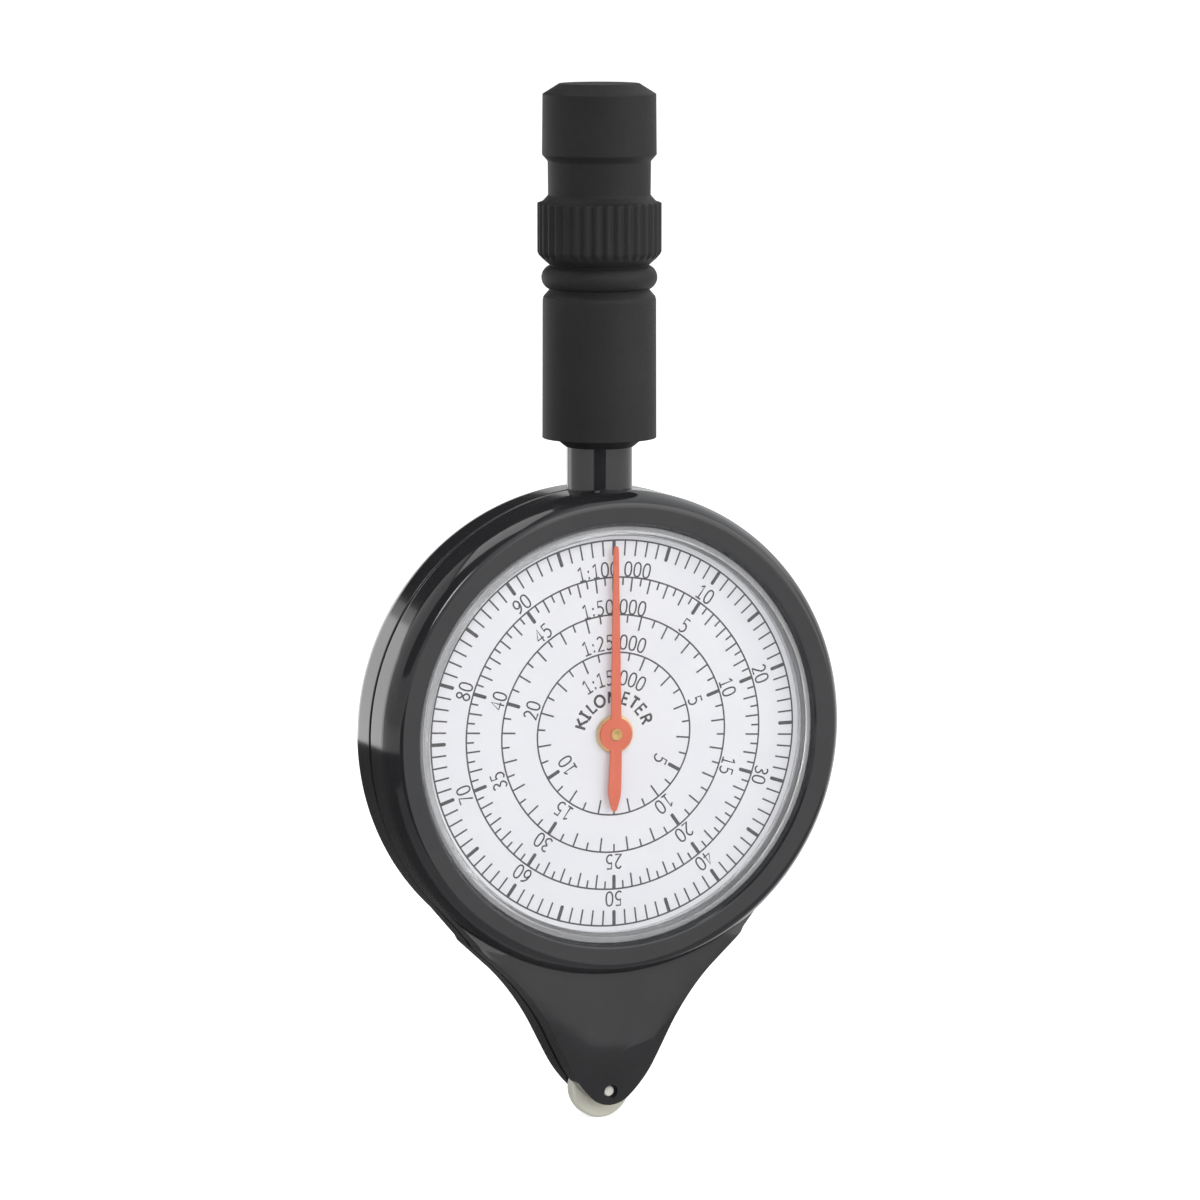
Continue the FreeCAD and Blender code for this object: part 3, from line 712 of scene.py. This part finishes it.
# Pen strokes of each figure in a cell one high: True closes a stroke, and a third value makes
# a point a sharp corner.
six = [(0.52, 0.97), (0.22, 0.80), (0.05, 0.40), (0.12, 0.10)]
six += [(0.31, 0), (0.57, 0.30), (0.33, 0.58), (0.08, 0.38)]
five = [(0.54, 1, 1), (0.13, 1, 1), (0.11, 0.57, 1)]
five += [(0.30, 0.62), (0.56, 0.32), (0.28, 0), (0.04, 0.07)]
eight = [(0.31, 1), (0.53, 0.78), (0.31, 0.54), (0.04, 0.25)]
eight += [(0.31, 0), (0.58, 0.25), (0.31, 0.54), (0.09, 0.78)]
figure_pens = {
    "0": [(True, [(0.31, 1), (0.60, 0.5), (0.31, 0), (0.02, 0.5)])],
    "1": [
        (False, [(0.08, 0.80), (0.34, 0.98, 1), (0.34, 0, 1)]),
        (False, [(0.08, 0, 1), (0.60, 0, 1)]),
    ],
    "2": [(False, [(0.06, 0.86), (0.30, 1), (0.55, 0.76), (0.40, 0.42), (0.05, 0, 1), (0.60, 0, 1)])],
    "3": [
        (False, [(0.07, 0.92), (0.30, 1), (0.53, 0.78), (0.24, 0.53, 1)]),
        (False, [(0.24, 0.53, 1), (0.58, 0.27), (0.30, 0), (0.04, 0.09)]),
    ],
    "4": [(False, [(0.47, 0, 1), (0.47, 1, 1), (0.03, 0.30, 1), (0.63, 0.30, 1)])],
    "5": [(False, five)],
    "6": [(False, six)],
    "7": [(False, [(0.04, 1, 1), (0.58, 1, 1), (0.22, 0, 1)])],
    "8": [(True, eight)],
    "9": [(False, [(0.62 - x, 1 - y) for x, y in six])],
    ":": [(False, [(0.31, 0.02, 1), (0.31, 0.18, 1)]), (False, [(0.31, 0.48, 1), (0.31, 0.64, 1)])],
    "K": [
        (False, [(0.00, 1, 1), (0.00, 0, 1)]),
        (False, [(0.62, 1, 1), (0.00, 0.42, 1)]),
        (False, [(0.20, 0.60, 1), (0.68, 0, 1)]),
    ],
    "I": [
        (False, [(0.31, 1, 1), (0.31, 0, 1)]),
        (False, [(0.12, 1, 1), (0.50, 1, 1)]),
        (False, [(0.12, 0, 1), (0.50, 0, 1)]),
    ],
    "L": [(False, [(0.10, 1, 1), (0.10, 0, 1), (0.56, 0, 1)])],
    "O": [(True, [(0.31, 1), (0.72, 0.5), (0.31, 0), (-0.10, 0.5)])],
    "M": [
        (False, [(-0.07, 0, 1), (-0.07, 1, 1)]),
        (False, [(-0.07, 1, 1), (0.31, 0.3, 1)]),
        (False, [(0.31, 0.3, 1), (0.69, 1, 1)]),
        (False, [(0.69, 1, 1), (0.69, 0, 1)]),
    ],
    "E": [
        (False, [(0.56, 1, 1), (0.10, 1, 1), (0.10, 0, 1), (0.56, 0, 1)]),
        (False, [(0.10, 0.52, 1), (0.48, 0.52, 1)]),
    ],
    "T": [(False, [(0.02, 1, 1), (0.60, 1, 1)]), (False, [(0.31, 1, 1), (0.31, 0, 1)])],
    "R": [
        (False, [(0.08, 0, 1), (0.08, 1, 1), (0.36, 1), (0.56, 0.77), (0.36, 0.52), (0.08, 0.52, 1)]),
        (False, [(0.34, 0.52, 1), (0.60, 0, 1)]),
    ],
}


def draw_figures(placed, height, stroke, width=0.85):
    """Draws figures with a pen of one width and presses them flat.

    Each is placed by its radius, its angle clockwise from the top, and a shift to its right."""
    curve = bpy.data.curves.new("pen_strokes", "CURVE")
    curve.dimensions = "3D"
    curve.bevel_depth = stroke / 2 * mm
    curve.bevel_resolution = 0
    curve.resolution_u = 5
    curve.use_fill_caps = True
    for figure, radius, angle, shift in placed:
        up = Vector((math.sin(angle), math.cos(angle), 0))
        right = Vector((math.cos(angle), -math.sin(angle), 0))
        for closed, points in figure_pens[figure]:
            line = curve.splines.new("BEZIER")
            line.bezier_points.add(len(points) - 1)
            line.use_cyclic_u = closed
            for bend, (x, y, *sharp) in zip(line.bezier_points, points):
                side = shift + (x - 0.31) * width * height
                bend.co = (up * (radius + (y - 0.5) * height) + right * side) * mm
                bend.handle_left_type = bend.handle_right_type = "VECTOR" if sharp else "AUTO"
    figures = bpy.data.objects.new("figures", curve)
    scene.collection.objects.link(figures)
    pick(figures)
    bpy.ops.object.convert(target="MESH")
    edit(figures)
    bpy.ops.mesh.select_all(action="SELECT")
    bpy.ops.transform.resize(value=(1, 1, ink_height / stroke), center_override=(0, 0, 0))
    bpy.ops.transform.translate(value=(0, 0, ink_height / 2 * mm))
    leave_edit()
    return figures


def numbers(values, radius, advance=0.876):
    """Labels spread evenly around the dial, each set straight with its top outwards."""
    placed = []
    for place, value in enumerate(values):
        angle = 2 * math.pi * (place + 1) / (len(values) + 1)
        text = str(value)
        for order, figure in enumerate(text):
            placed.append((figure, radius, angle, (order - (len(text) - 1) / 2) * advance))
    return placed


def words(text, radius):
    """A map scale set along its circle at the top, with narrow gaps for the colon and space."""
    widths = [{":": 0.5, " ": 0.46}.get(figure, 0.9) for figure in text]
    placed, reached = [], -sum(widths) / 2
    for figure, width in zip(text, widths):
        if figure != " ":
            placed.append((figure, radius, (reached + width / 2) / radius, 0))
        reached += width
    return placed


# A thin mark for each kilometre and a thick one for every fifth, and on the three inner scales
# a short one for each half.
scale_radii = (17.5, 14.16, 10.78, 7.376)
thin, thick = 0.15, 0.32
print_parts = [
    marks(100, scale_radii[0], 1.4, thin),
    marks(20, scale_radii[0], 1.4, thick, rounded=True),
]
for kilometres, radius in zip((50, 25, 15), scale_radii[1:]):
    print_parts += [
        marks(kilometres, radius, 1.28, thin),
        marks(kilometres, radius, 0.72, thin, 0.5),
        marks(kilometres // 5, radius, 1.3, thick, rounded=True),
    ]
labels = numbers(range(10, 100, 10), 15.05) + numbers(range(5, 50, 5), 11.66)
labels += numbers(range(5, 25, 5), 8.3) + numbers((5, 10), 5.2)
labels += words("1:100 000", 14.9) + words("1:50 000", 11.5)
labels += words("1:25 000", 8.3) + words("1:15 000", 5.1)
label_height, pen = 1.27, 0.15
print_parts.append(draw_figures(labels, label_height, pen))

# The unit stands in bolder and wider letters close around the hub.
unit_height, unit_pen, unit_width, unit_radius = 1.03, 0.23, 1.1, 3.32
unit_angles = [-71, -57, -41, -24.5, -1, 19.6, 35.8, 51.6, 69.5]
unit = [
    (letter, unit_radius, math.radians(degrees), 0)
    for letter, degrees in zip("KILOMETER", unit_angles)
]
print_parts.append(draw_figures(unit, unit_height, unit_pen, unit_width))

# The print is drawn flat at the origin, then stood up on the front dial.
deselect_all()
for part in print_parts:
    part.select_set(True)
front_print_and_rim_shade = print_parts[0]
bpy.context.view_layer.objects.active = front_print_and_rim_shade
bpy.ops.object.join()
front_print_and_rim_shade.location = dial_centre + Vector((0, -dial_face * mm, 0))
front_print_and_rim_shade.rotation_euler = (math.radians(90), 0, 0)
bpy.ops.object.transform_apply(location=True, rotation=True, scale=True)
circles = []
scale_circles = [(radius - thin / 2, radius + thin / 2) for radius in scale_radii]
# The dark ring under the crystal's rim is painted shade, not print: it stands in for the black bezel
# wall that the clear rim shows by refraction.
painted_shade_under_rim = (18.05, 18.69)
for near, far in [*scale_circles, painted_shade_under_rim]:
    top = dial_face + ink_height * 0.7  # under the marks, so no two films share a face
    profile = [(near, dial_face), (far, dial_face), (far, top), (near, top), (near, dial_face)]
    circles.append(turn("circle", profile, 256))
deselect_all()
for part in (front_print_and_rim_shade, *circles):
    part.select_set(True)
bpy.context.view_layer.objects.active = front_print_and_rim_shade
bpy.ops.object.join()
# The joined ink film holds the print and also the painted shade ring under the rim.
front_print_and_rim_shade.name = front_print_and_rim_shade.data.name = "front_dial_print_and_rim_shade"
front_print_and_rim_shade.data.materials.clear()
front_print_and_rim_shade.data.materials.append(ink)
rear_print_and_rim_shade = turned_over(front_print_and_rim_shade, "rear_dial_print_and_rim_shade")
for ink_film in (front_print_and_rim_shade, rear_print_and_rim_shade):
    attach(ink_film, "case")

# The pointers: red lacquered sheet, a tapered hand and a tail that widens to a blunt nose about
# a round hub, each on a brass washer, and both pressed on the ends of the turned brass arbor.
half_hand = [(0.1, -17.0), (0.2, -16.85), (0.235, -16.3), (0.26, -14.5), (0.5, -0.5)]
tail = [(0.51, 1.84), (0.48, 4.2), (0.46, 5.1), (0.4, 5.6), (0.26, 6.15), (0.1, 6.68)]
nose = [(0.04, 6.84), (-0.06, 6.96), (-0.18, 7.0), (-0.3, 6.96), (-0.4, 6.84), (-0.46, 6.68)]
tail_back = [(-0.61, 6.15), (-0.72, 5.5), (-0.74, 5.0), (-0.66, 3.6), (-0.56, 1.84)]
other_half = [(-side, drop) for side, drop in reversed(half_hand)]
sheet = (3.9, 4.1)
front_pointer = outline_piece(
    "front_pointer_hand", [*half_hand, *tail, *nose, *tail_back, *other_half], *sheet
)
hub = turn("hub", [(1.52, depth) for depth in sheet], 96)
fit_together(front_pointer, hub, "UNION")
bore(front_pointer, 0.55, 3, 5)
edit(front_pointer)
bpy.ops.mesh.select_all(action="SELECT")
bpy.ops.mesh.remove_doubles(threshold=0.03 * mm)
leave_edit()
break_edges(front_pointer, 0.04, 2, 40)
smooth(front_pointer, 35)
red = (0.70, 0.13, 0.06), (0.75, 0.155, 0.08)
front_pointer.data.materials.append(finish("red_lacquer", red, (0.3, 0.42), 2500, 0.0012, 350))

washer_profile = [
    (0.55, 3.6),
    (1.68, 3.6),
    (1.75, 3.67),
    (1.75, 3.74),
    (1.6, 3.9),
    (0.55, 3.9),
    (0.55, 3.6),
]
front_washer = turn("front_washer", washer_profile, 96)
smooth(front_washer, 25)
warm = (0.86, 0.58, 0.27), (0.93, 0.66, 0.33)
front_washer.data.materials.append(
    finish("warm_brass_washer", warm, (0.3, 0.5), 1600, 0.001, 500, 0.0, Metallic=0.8)
)

arbor_profile = [(0.16, -4.17), (0.3, -4.25), (0.48, -4.25), (0.55, -4.17)]
arbor_profile += [(radius, -place) for radius, place in reversed(arbor_profile)]
centre_arbor = turn("centre_arbor_pin", arbor_profile, 64)
smooth(centre_arbor, 30)
ochre = (0.52, 0.31, 0.09), (0.66, 0.42, 0.15)
centre_arbor.data.materials.append(
    finish("dull_brass_arbor", ochre, (0.45, 0.65), 4200, 0.004, 1500, Metallic=0.25)
)

rear_pointer = turned_over(front_pointer, "rear_pointer_hand")
rear_washer = turned_over(front_washer, "rear_washer")
for piece, node, slot in (
    (front_pointer, "front_pointer", "pointer_red"),
    (rear_pointer, "rear_pointer", "pointer_red"),
    (front_washer, "front_pointer_washer", "brass"),
    (rear_washer, "rear_pointer_washer", "brass"),
    (centre_arbor, "centre_arbor", "brass"),
):
    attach(piece, "pointer_set")
    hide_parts(node)

# The crystals: clear acrylic covers pressed into the bezels, each a flat window with a
# polished bevel around it and a rim below that stands on the dial's edge.
crystal_profile = [
    (18.0, 4.35),
    (18.0, 3.51),
    (18.84, 3.51),
    (18.84, 4.6),
    (18.3, 5.05),
]
front_crystal = turn("front_crystal_cover", crystal_profile, 256)
break_edges(front_crystal, 0.05, 2, 25)
smooth(front_crystal, 25)
window = finish(
    "clear_window", [(0.91, 0.92, 0.93), (0.94, 0.95, 0.96)], (0.03, 0.05), 700, 0.0002, Alpha=0.02
)
rim = finish(
    "clear_bevel",
    [(0.9, 0.91, 0.92), (0.98, 0.98, 0.99)],
    (0.05, 0.2),
    2600,
    0.0012,
    700,
    Transmission_Weight=0.75,
    IOR=1.49,
)
front_crystal.data.materials.append(window)
front_crystal.data.materials.append(rim)
inside_bevel = 17 * mm
for face in front_crystal.data.polygons:
    out = face.center - dial_centre
    flat_on = abs(face.normal.y) > 0.99
    face.material_index = 0 if flat_on and math.hypot(out.x, out.z) < inside_bevel else 1
rear_crystal = turned_over(front_crystal, "rear_crystal_cover")
for cover, node in ((front_crystal, "front_crystal"), (rear_crystal, "rear_crystal")):
    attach(cover, "case")
    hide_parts(node)

# The grip: a sleeve of matt black rubber pushed over the stem, with a barrel, a bead, a fluted
# ring to roll between the fingers, a neck and a cap.
ring_radius = 5.56
grip_profile = [
    (stem_radius, 55.03),
    (stem_radius, 25.6),
    (3.05, 25.6),
    (3.9, 26.3),
    (5.12, 26.4),
    (5.08, 38.75),
    (5.01, 39.08),
    (4.49, 39.68),
    (4.49, 39.73),
    *arc((4.49, 39.73), (5.19, 40.79), (4.45, 41.86), 12),
    (4.45, 41.9),
    (5.09, 42.46),
    (5.43, 42.82),
    (ring_radius, 43.1),
    (ring_radius, 47.42),
    (5.08, 47.58),
    (4.58, 48.12),
    (4.61, 51.15),
    (5.12, 51.72),
    (5.07, 57.11),
    (3.6, 58.03),
]


def soften(profile, outer, inner, steps=4):
    """Rounds a profile's corners: outer ones over one length, inner ones over another."""
    rounded = [profile[0]]
    for before, corner, after in zip(profile, profile[1:], profile[2:]):
        here, back, on = Vector(corner), Vector(before), Vector(after)
        back, on = back - here, on - here
        turning = back.x * on.y - back.y * on.x
        reach = min(outer if turning > 0 else inner, back.length * 0.45, on.length * 0.45)
        start, end = here + back.normalized() * reach, here + on.normalized() * reach
        for k in range(steps + 1):
            share = k / steps
            point = start * (1 - share) ** 2 + here * 2 * share * (1 - share) + end * share**2
            rounded.append(tuple(point))
    return [*rounded, profile[-1]]


flutes, flute_columns = 35, 8
columns = flute_columns * flutes
grip = turn("grip_rubber_sleeve", soften(grip_profile, 0.12, 0.06), columns, upright=True)

# Each flute is pressed in by drawing its middle column in most and the ones beside it less.
flute_floor, flute_foot, flute_top = 5.25, 42.0, 47.55
for beside, depth in ((0, 0.24), (1, 0.2), (2, 0.1), (3, 0.015)):
    edit(grip)
    bpy.ops.mesh.select_mode(type="VERT")
    bpy.ops.mesh.select_all(action="DESELECT")
    leave_edit()
    for corner in grip.data.vertices:
        rise = (corner.co.z - dial_height) / mm
        column = round(math.atan2(corner.co.x, corner.co.y) / (2 * math.pi) * columns)
        from_middle = (column + 1) % flute_columns - flute_columns // 2
        on_ring = math.hypot(corner.co.x, corner.co.y) > flute_floor * mm
        on_ring = on_ring and flute_foot < rise < flute_top
        corner.select = abs(from_middle) == beside and on_ring
    bpy.ops.object.mode_set(mode="EDIT")
    drawn = 1 - depth / ring_radius
    bpy.ops.transform.resize(value=(drawn, drawn, 1), center_override=(0, 0, 0))
    leave_edit()
smooth(grip, 40)
rubber = finish(
    "matt_black_rubber",
    [(0.010, 0.010, 0.011), (0.015, 0.015, 0.016)],
    (0.55, 0.7),
    grain=5200,
    relief=0.005,
    Specular_IOR_Level=0.3,
)
grip.data.materials.append(rubber)
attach(grip, "case")
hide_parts("grip_sleeve")
